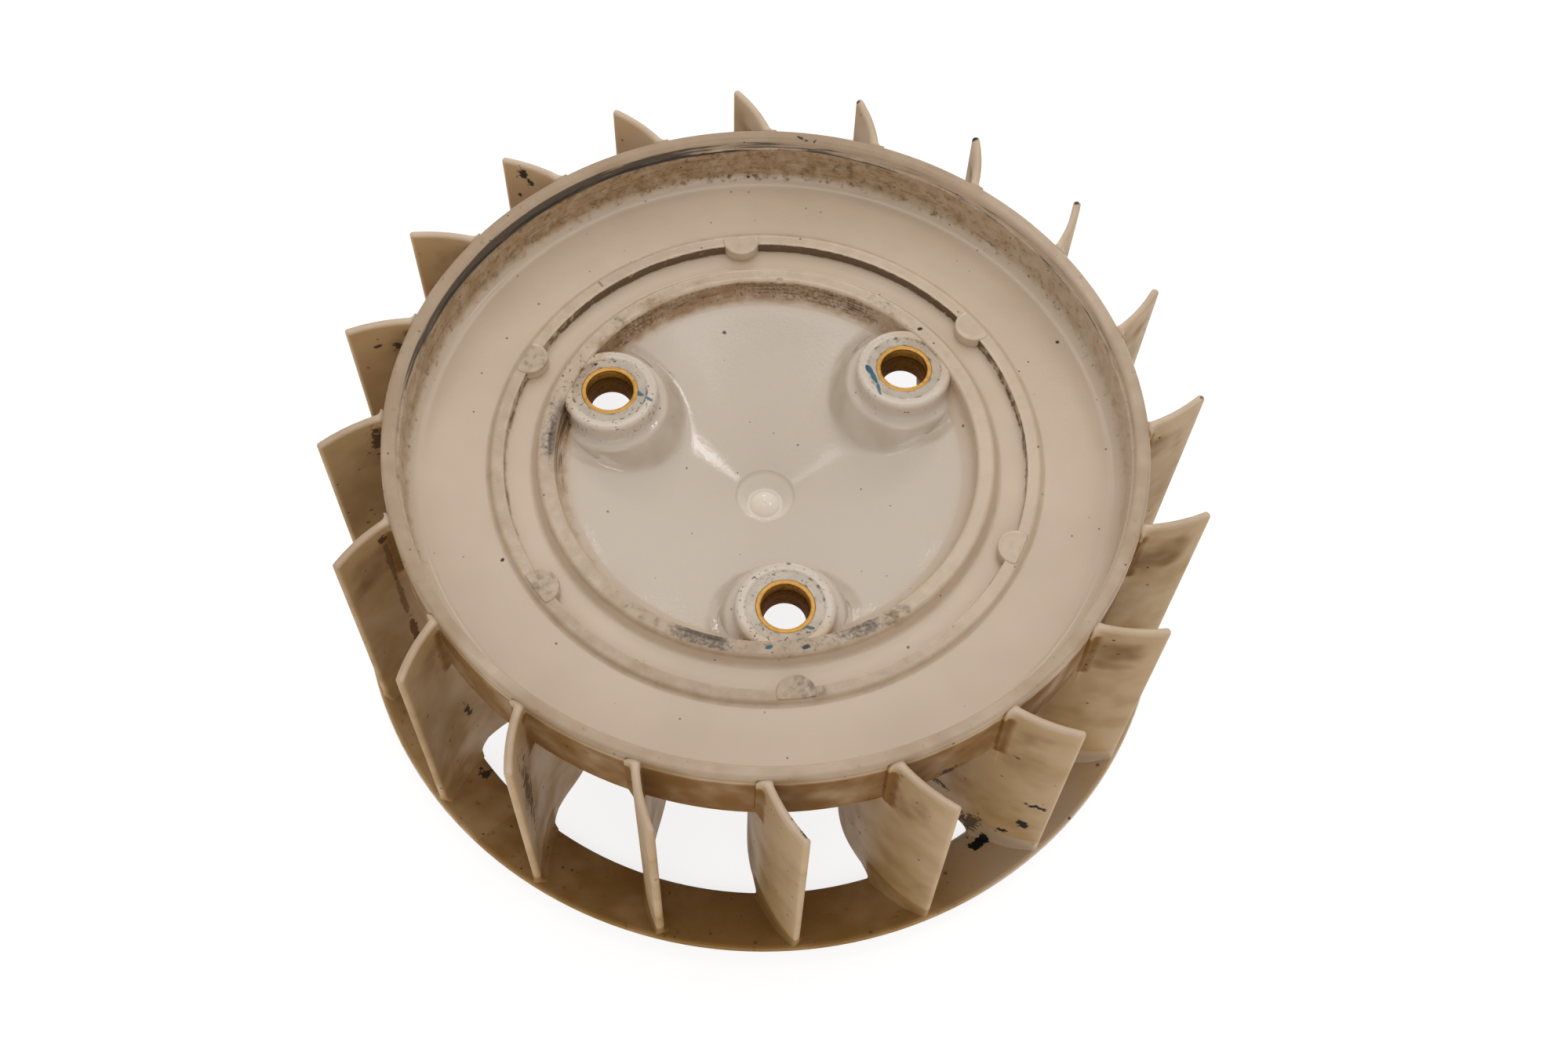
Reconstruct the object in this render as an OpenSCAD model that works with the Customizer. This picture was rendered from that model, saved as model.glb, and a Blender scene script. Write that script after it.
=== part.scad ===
// Engine cooling fan wheel for an air-cooled scooter engine.
// The wheel is one injection moulding in natural nylon: a cup that sits over
// the flywheel, a dished hub with three bolt bosses, twenty curved blades and
// a shroud ring that the blades carry. Three brass bushes are moulded into
// the bosses, so that the bolts clamp on metal.
// The wheel lies on its shroud ring, with the flywheel side up. The axis is Z
// and the first boss points along +Y. All sizes are in millimetres.

/* [Wheel] */
// Height from the underside of the shroud ring to the rim top
wheel_h = 50.4; // [44:0.2:70]
// Diameter on which the blade tips end
tip_d = 133.4; // [125:0.2:150]
// Facets around a full circle
facets = 180; // [60:20:360]

/* [Rim] */
// Outer diameter of the rim, also where the two mould halves shut off
rim_d = 115; // [105:0.5:120]
// Thickness of the rim wall below its locating step
rim_t = 2.4; // [1.8:0.1:3.5]
// Height of the slightly wider mouth at the rim top
mouth_h = 2; // [1:0.1:4]
// How much the mouth is wider than the wall, on the radius
mouth_step = 0.3; // [0.1:0.05:0.8]
// Rounding of the rim lip
lip_round = 0.5; // [0.2:0.1:0.9]

/* [Hub disc] */
// Depth of the annular floor below the rim top
floor_depth = 9.3; // [7:0.1:14]
// Thickness of the disc
disc_t = 2.4; // [1.6:0.1:3.5]
// Depth below the rim top at which the rim wall ends under the disc
skirt_depth = 12.7; // [12:0.1:18]
// Inner fillet where the rim wall meets the floor
floor_fillet = 2.3; // [1:0.1:4]

/* [Pad band] */
// Outer diameter of the raised band that carries the pads
band_od = 85.6; // [82:0.2:92]
// Inner diameter of the band
band_id = 80.6; // [78:0.2:81]
// Height of the band above the annular floor
band_h = 0.7; // [0.3:0.1:1.5]
// Number of half-round pads on the band
pad_count = 6; // [3:1:12]
// Radius of a pad
pad_r = 2.95; // [2:0.05:4]
// How far a pad reaches inwards past the band
pad_reach = 2.1; // [1:0.1:2.6]
// Height of a pad above the band
pad_h = 0.2; // [0.1:0.05:0.6]

/* [Groove and land] */
// Depth of the groove floor below the rim top
groove_depth = 10.3; // [9.5:0.1:11.5]
// Outer diameter of the seating land
land_od = 70.6; // [69:0.2:74]
// Inner diameter of the seating land, which is the mouth of the recess
land_id = 65.4; // [64.4:0.2:66]
// Depth of the seating land below the rim top
land_depth = 8.4; // [7.5:0.1:9]

/* [Recess] */
// Depth of the recess at its wall, below the rim top
recess_edge_depth = 12.2; // [11.5:0.1:14]
// Depth of the recess at the wheel axis, below the rim top
recess_depth = 24; // [18:0.5:26]
// Radius at which the shallow ledge of the recess turns into its cone
ledge_r = 27.6; // [26:0.2:29]
// Diameter of the gate well at its mouth, at the centre of the recess
well_d = 9.6; // [8.4:0.2:11]
// Diameter of the gate well at its foot
well_foot_d = 5.8; // [5:0.2:7]
// Depth of the foot of the gate well below the tip of the cone
well_depth = 0.8; // [0.4:0.1:3]
// Height of the gate dome in the well
gate_rise = 1.2; // [0.6:0.1:2]

/* [Bolt bosses] */
// Number of bolts
boss_count = 3; // [3:1:3]
// Pitch circle diameter of the bolts
bolt_pcd = 54; // [52:0.5:56]
// Depth of the boss tops below the rim top
boss_depth = 8.9; // [8.5:0.1:10]
// Radius of the upper tier of a boss
boss_r = 7.5; // [6.5:0.1:8]
// Rounding of the upper tier
boss_round = 1.6; // [0.6:0.1:2.2]
// Radius of the lower tier at its shoulder
tier_r = 9.3; // [8.8:0.1:10]
// Radius of the lower tier where it meets the cone
tier_foot_r = 11.9; // [11:0.1:12.5]
// Wall of plastic between the lower tier and the bolt head pocket
pocket_wall = 2.2; // [1.6:0.1:2.6]

/* [Brass bushes] */
// Outer diameter of a bush
bush_od = 8.9; // [8.4:0.1:9.8]
// Length of a bush
bush_len = 5.5; // [4.5:0.1:6]
// Diameter of the lower bore, for an M6 bolt
bush_bore_d = 6.5; // [6.3:0.1:6.8]
// Diameter of the wider upper bore
bush_mouth_d = 7.3; // [6.9:0.1:7.5]
// Depth of the wider upper bore
bush_mouth_len = 2.1; // [1:0.1:3]
// Chamfer at both ends of a bush
bush_chamfer = 0.2; // [0.1:0.05:0.4]
// Depth of the groove in which the plastic grips the bush
bush_grip = 0.25; // [0.1:0.05:0.4]

/* [Blades] */
// Number of blades
blade_count = 20; // [12:1:26]
// Thickness of a blade
blade_t = 1.25; // [1:0.05:2]
// Radius of the blade arc, seen along the axis
blade_arc_r = 27; // [22:0.5:32]
// Lean of the blade against the radius where it passes the rim, in degrees
blade_lean = 20.5; // [12:0.5:26]
// Drop of the blades' upper edge below the rim top
blade_drop = 0.3; // [0.2:0.1:2]
// Radius at which the leading edge starts under the disc
lead_top_r = 41; // [38:0.5:43]
// Radius at which the leading edge turns to the shroud ring
lead_foot_r = 46; // [45:0.2:50]
// Height of that turn above the underside of the shroud ring
lead_foot_h = 3; // [2.4:0.1:9]
// Rounding of that turn
lead_round = 4.6; // [2:0.2:6]

/* [Shroud ring] */
// Outer diameter of the shroud ring
ring_od = 134.8; // [133.8:0.2:152]
// Inner diameter of the shroud ring, which is the air inlet
ring_id = 114; // [112:0.2:116]
// Thickness of the shroud ring
ring_t = 1.8; // [1.4:0.1:3]
// Rise of the ring from its inner to its outer edge
ring_rise = 4.1; // [2:0.1:8]

/* [Hidden] */
$fn = facets;
rim_r = rim_d / 2;
tip_r = tip_d / 2;
wall_r = rim_r - rim_t;
mouth_r = wall_r + mouth_step;
floor_z = wheel_h - floor_depth;
disc_z = floor_z - disc_t;
skirt_z = min(wheel_h - skirt_depth, disc_z - 0.2);
band_z = floor_z + band_h;
groove_z = wheel_h - groove_depth;
land_z = wheel_h - land_depth;
land_ir = land_id / 2;
recess_wall_r = land_ir - 0.4;
recess_edge_z = wheel_h - recess_edge_depth;
recess_fillet = 1.8;
// The ledge falls a little more gently than the cone inside it
ledge_z = recess_edge_z - 0.18 * (recess_wall_r - recess_fillet - ledge_r) - 0.5;
cone_z = wheel_h - recess_depth;
well_r = well_d / 2;
well_foot_r = well_foot_d / 2;
gate_r = well_foot_r - 0.4;
gate_ball_r = (gate_r * gate_r + gate_rise * gate_rise) / (2 * gate_rise);
boss_z = wheel_h - boss_depth;
pitch_r = bolt_pcd / 2;
bush_low_z = boss_z - bush_len;
bush_r = bush_od / 2;
// Height of the cone surface at a given radius
function cone_at(r) = cone_z + (ledge_z - cone_z) * r / ledge_r;
// Thickness of the cone wall, measured along the axis
cone_t = disc_t * 1.06;
tier_z = boss_z - 3.4;
tier_foot_z = cone_at(pitch_r - tier_foot_r) - 0.2;
pocket_r = tier_r - pocket_wall;
pocket_foot_r = pocket_r + (tier_foot_r - tier_r) * (bush_low_z - cone_z + 6) / (tier_z - tier_foot_z);
ring_or = ring_od / 2;
ring_ir = ring_id / 2;
blade_top = wheel_h - blade_drop;
// Centre of the blade arc, for a blade that passes the rim on the X axis
arc_x = rim_r - blade_arc_r * sin(blade_lean);
arc_y = blade_arc_r * cos(blade_lean);

// Points of a circular arc, from angle a to angle b in n steps
function arc(x, y, r, a, b, n) =
    [for (i = [0:n]) [x + r * cos(a + (b - a) * i / n), y + r * sin(a + (b - a) * i / n)]];

// Half section of the cup, the disc and the dished hub
function hub_section() = concat(
    arc(rim_r - lip_round, wheel_h - lip_round, lip_round, 0, 90, 4),
    arc(mouth_r + lip_round, wheel_h - lip_round, lip_round, 90, 180, 4),
    [[mouth_r, wheel_h - mouth_h], [wall_r, wheel_h - mouth_h - mouth_step]],
    arc(wall_r - floor_fillet, floor_z + floor_fillet, floor_fillet, 0, -90, 8),
    [
        [band_od / 2, floor_z],
        [band_od / 2 - band_h * 0.6, band_z],
        [band_id / 2, band_z],
        [band_id / 2, groove_z],
        [land_od / 2 + 0.4, groove_z],
        [land_od / 2, land_z - 0.3],
        [land_od / 2 - 0.3, land_z]
    ],
    arc(land_ir + 0.6, land_z - 0.6, 0.6, 90, 180, 4),
    arc(recess_wall_r - recess_fillet, recess_edge_z + recess_fillet, recess_fillet, 0, -80, 6),
    [
        [ledge_r, ledge_z],
        [well_r, cone_at(well_r)]
    ],
    arc(well_foot_r - 0.4, cone_at(0) - well_depth + 0.4, 0.4, -35, -90, 3),
    arc(0, cone_at(0) - well_depth + gate_rise - gate_ball_r, gate_ball_r, acos(gate_r / gate_ball_r) + 6, 90, 6),
    [
        [0, cone_at(0) - well_depth - disc_t],
        [well_foot_r + 1.8, cone_at(0) - well_depth - disc_t],
        [well_r + 1.4, cone_at(well_r) - cone_t],
        [ledge_r, ledge_z - cone_t],
        [recess_wall_r - 1, recess_edge_z - cone_t],
        [recess_wall_r + disc_t + 1.2, groove_z - disc_t],
        [band_id / 2, groove_z - disc_t],
        [band_od / 2 + 1.5, disc_z],
        [wall_r - 1.5, disc_z],
        [wall_r - 0.4, skirt_z + 0.3],
        [wall_r + 0.2, skirt_z],
        [rim_r, skirt_z]
    ]
);

// Half section of the space that a boss may fill, from the far face of the
// cone up and out to the recess wall
function recess_section() = [
    [0, cone_at(0) - cone_t],
    [ledge_r, ledge_z - cone_t],
    [recess_wall_r - 1, recess_edge_z - cone_t],
    [land_ir + 0.6, groove_z],
    [land_ir + 0.6, wheel_h],
    [0, wheel_h]
];

// Half section of the shroud ring, a shallow funnel that opens to the blades
function ring_section() = [
    [ring_ir, 0.3],
    [ring_ir + 0.4, 0],
    [ring_or - 0.6, ring_rise],
    [ring_or, ring_rise + 0.5],
    [ring_or, ring_rise + ring_t - 0.3],
    [ring_or - 0.3, ring_rise + ring_t],
    [ring_ir + 0.5, ring_t + 0.1],
    [ring_ir, ring_t - 0.5]
];

// Half section of the space that the blades fill, between disc and ring
function blade_section() =
    let (foot = atan2(disc_z - lead_foot_h, lead_foot_r - lead_top_r))
    let (turn = lead_round / tan((180 - foot) / 2 + 2))
    let (mid = lead_foot_r + turn + lead_round * 0.1)
    concat(
        [[rim_r - 1, blade_top]],
        arc(tip_r - 0.3, blade_top - 0.3, 0.3, 90, 0, 3),
        [
            [tip_r, ring_rise + ring_t / 2],
            [ring_ir + 1, ring_t / 2],
            [ring_ir, ring_t - 0.6],
            [ring_ir - 0.8, ring_t + 1.2],
            [ring_ir - 2, ring_t + 2]
        ],
        arc(mid, lead_foot_h + lead_round, lead_round, 270, 270 - foot, 5),
        [
            [lead_top_r, groove_z - disc_t + 0.6],
            [lead_top_r + 1, groove_z - disc_t / 2],
            [rim_r - 1, floor_z - disc_t / 2]
        ]
    );

// Outline of one blade along the axis, an arc of constant thickness
module blade_outline() {
    intersection() {
        translate([arc_x, arc_y])
            difference() {
                circle(r = blade_arc_r + blade_t / 2);
                circle(r = blade_arc_r - blade_t / 2);
            }
        polygon([[20, -9], [tip_r + 6, -9], [tip_r + 6, 16], [20, 4.5]]);
    }
}

// All blades, drawn straight along the axis as the mould halves open
module blades() {
    intersection() {
        for (i = [0:blade_count - 1])
            rotate(90 + i * 360 / blade_count)
                linear_extrude(wheel_h)
                    blade_outline();
        rotate_extrude()
            polygon(blade_section());
    }
}

// Plastic of one bolt boss, with its upper tier, neck and lower tier
module boss_body() {
    rotate_extrude()
        polygon(concat(
            [[0, boss_z]],
            arc(boss_r - boss_round, boss_z - boss_round, boss_round, 90, 0, 5),
            [
                [boss_r, tier_z + 1.1],
                [boss_r + 0.35, tier_z + 0.45],
                [tier_r - 0.9, tier_z + 0.1],
                [tier_r - 0.25, tier_z - 0.25],
                [tier_r, tier_z - 0.9],
                [tier_foot_r, tier_foot_z],
                [tier_foot_r, cone_z - 0.5],
                [0, cone_z - 0.5]
            ]
        ));
}

// Pocket on the far side that takes the head of a bolt
module bolt_pocket() {
    rotate_extrude()
        polygon([
            [0, bush_low_z],
            [pocket_r - 0.5, bush_low_z],
            [pocket_r, bush_low_z - 0.5],
            [pocket_foot_r, cone_z - 6],
            [0, cone_z - 6]
        ]);
}

// Outer shape of a bush, cut out of the boss so that both always match
module bush_shape() {
    rotate_extrude()
        polygon([
            [0, bush_low_z],
            [bush_r - bush_chamfer, bush_low_z],
            [bush_r, bush_low_z + bush_chamfer],
            [bush_r, bush_low_z + 1.6],
            [bush_r - bush_grip, bush_low_z + 1.9],
            [bush_r - bush_grip, bush_low_z + 3.1],
            [bush_r, bush_low_z + 3.4],
            [bush_r, boss_z],
            [0, boss_z]
        ]);
}

// A moulded-in bush with a stepped bore and a broken edge at both ends
module bush() {
    difference() {
        bush_shape();
        translate([0, 0, bush_low_z - 1])
            cylinder(h = bush_len + 2, d = bush_bore_d);
        translate([0, 0, boss_z - bush_mouth_len])
            cylinder(h = bush_mouth_len + 1, d = bush_mouth_d);
        translate([0, 0, boss_z - bush_chamfer])
            cylinder(h = 2 * bush_chamfer, d1 = bush_mouth_d, d2 = bush_mouth_d + 4 * bush_chamfer);
        translate([0, 0, bush_low_z - bush_chamfer])
            cylinder(h = 2 * bush_chamfer, d1 = bush_bore_d + 4 * bush_chamfer, d2 = bush_bore_d);
    }
}

// Moves its children to the bolt with number i, counted from 0
module at_bolt(i) {
    rotate(i * 360 / boss_count)
        translate([0, pitch_r, 0])
            children();
}

// Half-round pads that reach inwards from the band
module pads() {
    intersection() {
        for (i = [0:pad_count - 1])
            rotate(90 + i * 360 / pad_count)
                translate([band_id / 2 - pad_reach + pad_r, 0, groove_z - 0.5])
                    cylinder(h = band_z + pad_h - groove_z + 0.5, r = pad_r);
        cylinder(h = wheel_h, r = band_od / 2 - band_h);
    }
}

// The moulded wheel
module fan_wheel() {
    color("antiquewhite")
        difference() {
            union() {
                rotate_extrude()
                    polygon(hub_section());
                rotate_extrude()
                    polygon(ring_section());
                blades();
                pads();
                intersection() {
                    for (i = [0:boss_count - 1])
                        at_bolt(i)
                            boss_body();
                    rotate_extrude()
                        polygon(recess_section());
                }
            }
            for (i = [0:boss_count - 1])
                at_bolt(i) {
                    bush_shape();
                    bolt_pocket();
                }
        }
}

module bush_1() {
    color("goldenrod")
        at_bolt(0)
            bush();
}

module bush_2() {
    color("goldenrod")
        at_bolt(1)
            bush();
}

module bush_3() {
    color("goldenrod")
        at_bolt(2)
            bush();
}

fan_wheel();
bush_1();
bush_2();
bush_3();
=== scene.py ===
"""Looks of an engine cooling fan wheel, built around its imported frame.

The wheel is one injection moulding in natural nylon with three brass bushes.
It lies on its shroud ring, with the side that faces the flywheel up. Sizes
are in millimetres, in the frame of the part: Z is the wheel axis, z = 0 is
the underside of the shroud ring, and +Y points to the first boss. Meshes are
written in metres.
"""
import math
import bmesh
import bpy
import numpy as np
from mathutils import Matrix, Vector


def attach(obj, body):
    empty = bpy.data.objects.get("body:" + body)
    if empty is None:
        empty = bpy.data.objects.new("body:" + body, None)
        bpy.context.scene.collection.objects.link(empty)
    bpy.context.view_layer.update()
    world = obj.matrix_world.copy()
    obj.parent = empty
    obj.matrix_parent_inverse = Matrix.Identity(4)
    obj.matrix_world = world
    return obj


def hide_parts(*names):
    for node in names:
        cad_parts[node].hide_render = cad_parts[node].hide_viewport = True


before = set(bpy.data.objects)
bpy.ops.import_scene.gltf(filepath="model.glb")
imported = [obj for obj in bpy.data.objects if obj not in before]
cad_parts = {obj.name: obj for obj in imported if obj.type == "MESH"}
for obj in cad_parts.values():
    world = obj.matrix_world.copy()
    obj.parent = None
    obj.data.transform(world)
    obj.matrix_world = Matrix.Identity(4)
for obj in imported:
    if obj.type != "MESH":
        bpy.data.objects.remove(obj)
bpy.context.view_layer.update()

MM = 0.001

# Sizes of the moulding, as in the solids
WHEEL_H = 50.4
RIM_R = 57.5
RIM_T = 2.4
MOUTH_STEP = 0.3
FLOOR_Z = WHEEL_H - 9.3
DISC_T = 2.4
SKIRT_Z = WHEEL_H - 12.7
BAND_OR, BAND_IR = 42.8, 40.3
BAND_Z = FLOOR_Z + 0.7
GROOVE_Z = WHEEL_H - 10.3
LAND_OR, LAND_IR = 35.3, 32.7
LAND_Z = WHEEL_H - 8.4
RECESS_R = LAND_IR - 0.4
RECESS_EDGE_Z = WHEEL_H - 12.2
LEDGE_R = 27.6
LEDGE_Z = RECESS_EDGE_Z - 0.18 * (RECESS_R - 1.8 - LEDGE_R) - 0.5
CONE_Z = WHEEL_H - 24.0
CONE_T = DISC_T * 1.06
WELL_R, WELL_FOOT_R = 4.8, 2.9
WELL_DEPTH = 0.8
GATE_R, GATE_RISE = 2.5, 1.2
WALL_R = RIM_R - RIM_T
MOUTH_R = WALL_R + MOUTH_STEP
DISC_Z = FLOOR_Z - DISC_T
# The top face in rough: cone and ledge, then a rise between two radii
RISE_FROM, RISE_TO, RISE = 30.0, 40.0, 3.0

# Bosses, bushes and bolt head pockets
PITCH_R = 27.0
BOSS_Z = WHEEL_H - 8.9
BOSS_R = 7.5
TIER_Z = BOSS_Z - 3.4
TIER_R = 9.3
TIER_FOOT_R = 11.9
BUSH_R = 4.45
BUSH_LOW_Z = BOSS_Z - 5.5
BORE_R, MOUTH_BORE_R = 3.25, 3.65
POCKET_R = 7.1
PADS = 6
PAD_R = 2.95
PAD_CENTRE_R = BAND_IR - 2.1 + PAD_R

# Blades and shroud ring
BLADES = 20
TIP_R = 66.7
BLADE_T = 1.25
BLADE_ARC_R = 27.0
BLADE_LEAN = math.radians(20.5)
BLADE_TOP = WHEEL_H - 0.3
RING_OR, RING_IR = 67.4, 57.0
RING_T = 1.8
RING_RISE = 4.1

# Azimuths of the photograph plus this turn are azimuths of the part
VIEW_TURN = 52.4
BOSS_ANGLES = (90, 210, 330)
# The photograph's azimuths run between these, so that their seam is on clean nylon
AZIMUTH_FROM, AZIMUTH_TO = -130.0, 230.0

# Corners on a full turn: wheel, bosses and bushes, pads, knocks
WHEEL_SIDES, BOSS_SIDES, PAD_SIDES, KNOCK_SIDES = 180, 96, 48, 16


def cone_at(r):
    """Height of the cone in the recess: a straight line from axis to ledge."""
    return CONE_Z + (LEDGE_Z - CONE_Z) * r / LEDGE_R


def rounded(corners):
    """Polyline through corners (r, z, radius), each corner with an arc.

    The arc touches both sides of the corner, radius / tan(half the angle)
    away from it, or less where a side is short. Points on it are spherical
    interpolations between its two ends. A support point on each long side,
    next to the arc, keeps the flat beside it flat in shading.
    """
    side_share, long_side, support = 0.45, 0.8, 0.2
    points = np.array([corner[:2] for corner in corners], float)
    out = [points[0]]
    for i in range(1, len(points) - 1):
        before, here, after = points[i - 1:i + 2]
        size_u, size_v = np.linalg.norm(before - here), np.linalg.norm(after - here)
        u, v = (before - here) / size_u, (after - here) / size_v
        half = 0.5 * math.acos(np.clip(u @ v, -1, 1))
        reach = min(corners[i][2] / math.tan(half), side_share * size_u, side_share * size_v)
        radius = reach * math.tan(half)
        if radius < 0.01 or half > 1.54:
            out.append(here)
            continue
        centre = here + (u + v) / np.linalg.norm(u + v) * radius / math.sin(half)
        start, end = here + u * reach - centre, here + v * reach - centre
        angle = math.pi - 2 * half
        steps = 2 + int(min(radius, 3.0) * 2.5)
        t = np.linspace(0, 1, steps + 1)[:, None]
        arc = (np.sin((1 - t) * angle) * start + np.sin(t * angle) * end) / math.sin(angle)
        if size_u - reach > long_side:
            out.append(here + u * (reach + support))
        out.extend(arc + centre)
        if size_v - reach > long_side:
            out.append(here + v * (reach + support))
    out.append(points[-1])
    return np.array(out)


def grid_faces(rows, columns, wrap_rows=False, wrap_columns=False):
    """Quads between neighbouring points of a grid, numbered row by row."""
    index = np.arange(rows * columns).reshape(rows, columns)
    if wrap_rows:
        index = np.vstack([index, index[:1]])
    if wrap_columns:
        index = np.hstack([index, index[:, :1]])
    corners = index[:-1, :-1], index[:-1, 1:], index[1:, 1:], index[1:, :-1]
    return np.stack([corner.ravel() for corner in corners], 1)


def turned(profile, sides, centre=(0.0, 0.0), closed=False):
    """Solid of revolution of a profile of points (r, z), in plan at centre.

    Point (r, z) at angle a goes to (r cos a, r sin a, z). An open profile
    starts and ends on the axis, where its first and last points are poles.
    """
    angle = np.linspace(0, 2 * np.pi, sides, endpoint=False)
    r, z = np.asarray(profile).T
    x = centre[0] + r[:, None] * np.cos(angle)
    y = centre[1] + r[:, None] * np.sin(angle)
    points = np.stack([x, y, np.broadcast_to(z[:, None], x.shape)], -1).reshape(-1, 3)
    return points, grid_faces(len(r), sides, wrap_rows=closed, wrap_columns=True)


def place_object(name, data):
    """Makes an object of a mesh, lamp or camera and puts it in the scene."""
    made = bpy.data.objects.new(name, data)
    bpy.context.collection.objects.link(made)
    return made


def write_mesh(name, shells):
    """Makes an object of shells (points, quads), merged where points meet."""
    offsets = np.cumsum([0] + [len(points) for points, _ in shells])
    points = np.concatenate([shell[0] for shell in shells]) * MM
    quads = np.concatenate([shell[1] + offset for shell, offset in zip(shells, offsets)])
    mesh = bpy.data.meshes.new(name)
    mesh.from_pydata(points.tolist(), [], quads.tolist())
    piece = place_object(name, mesh)
    tidy = bmesh.new()
    tidy.from_mesh(mesh)
    bmesh.ops.remove_doubles(tidy, verts=tidy.verts, dist=0.002 * MM)
    bmesh.ops.dissolve_degenerate(tidy, edges=tidy.edges, dist=0.0005 * MM)
    bmesh.ops.recalc_face_normals(tidy, faces=tidy.faces)
    tidy.to_mesh(mesh)
    tidy.free()
    return piece


def hub():
    """Cup, disc and dished hub as one turned profile, from pole to pole."""
    well_z = CONE_Z - WELL_DEPTH
    # Gate dome: a cap of a ball, with a small pip left where the sprue was
    ball_r = (GATE_R ** 2 + GATE_RISE ** 2) / (2 * GATE_RISE)
    slope = np.linspace(0, math.asin(GATE_R / ball_r), 12)
    dome_z = well_z + GATE_RISE - ball_r * (1 - np.cos(slope))
    dome = np.stack([ball_r * np.sin(slope), dome_z], 1)
    dome[:2, 1] += 0.12
    top = [
        (WELL_FOOT_R, well_z, 0.4), (WELL_R, cone_at(WELL_R), 0.2),
        (LEDGE_R, LEDGE_Z, 1.5), (RECESS_R - 1.8, RECESS_EDGE_Z, 1.0),
        (RECESS_R, RECESS_EDGE_Z + 1.1, 1.6), (LAND_IR, LAND_Z, 0.55),
        (LAND_OR - 0.2, LAND_Z, 0.7), (LAND_OR + 0.8, GROOVE_Z, 0.9),
        (BAND_IR, GROOVE_Z, 0.15), (BAND_IR, BAND_Z, 0.25),
        (BAND_OR - 0.6, BAND_Z, 0.8), (BAND_OR + 0.1, FLOOR_Z, 0.7),
        (WALL_R, FLOOR_Z, 2.3), (WALL_R, WHEEL_H - 2.3, 0.15),
        (MOUTH_R, WHEEL_H - 2.0, 0.15), (MOUTH_R, WHEEL_H, 0.6),
        (RIM_R, WHEEL_H, 0.5), (RIM_R, SKIRT_Z, 0.35),
    ]
    under = [
        (WALL_R + 0.2, SKIRT_Z, 0.3), (WALL_R - 0.4, SKIRT_Z + 0.3, 0.3),
        (WALL_R - 1.5, DISC_Z, 1.0), (BAND_OR + 1.5, DISC_Z, 2.0),
        (BAND_IR, GROOVE_Z - DISC_T, 2.0),
        (RECESS_R + DISC_T + 1.2, GROOVE_Z - DISC_T, 2.0),
        (RECESS_R - 1, RECESS_EDGE_Z - CONE_T, 2.0), (LEDGE_R, LEDGE_Z - CONE_T, 2.0),
        (WELL_R + 1.4, cone_at(WELL_R) - CONE_T, 0.6),
        (WELL_FOOT_R + 1.8, well_z - DISC_T, 0.6),
        (0, well_z - DISC_T, 0),
    ]
    return np.concatenate([dome, rounded([(*dome[-1], 0)] + top + under)[1:]])


def ring():
    """Shroud ring, a shallow funnel of even thickness with rounded edges."""
    corners = [
        (RING_IR, 0.3, 0), (RING_IR + 0.4, 0, 0.25), (RING_OR - 0.6, RING_RISE, 0.4),
        (RING_OR, RING_RISE + 0.5, 0.25), (RING_OR, RING_RISE + RING_T, 0.5),
        (RING_IR + 0.5, RING_T + 0.1, 0.9), (RING_IR, RING_T - 0.5, 0.5), (RING_IR, 0.3, 0),
    ]
    return rounded(corners)[:-1]


def distance(r, z, line):
    """Distance from points (r, z) to a polyline, least over its pieces."""
    start, end = line[:-1], line[1:]
    along = end - start
    offset = np.stack([r, z], -1)[..., None, :] - start
    t = np.clip((offset * along).sum(-1) / (along ** 2).sum(-1), 0, 1)
    return np.linalg.norm(offset - t[..., None] * along, axis=-1).min(-1)


def fillet(gap, radius):
    """Height of a quarter-round fillet at a distance from the wall it fills."""
    inside = radius - np.clip(gap, 0, radius)
    return radius - np.sqrt(radius ** 2 - inside ** 2)


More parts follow.
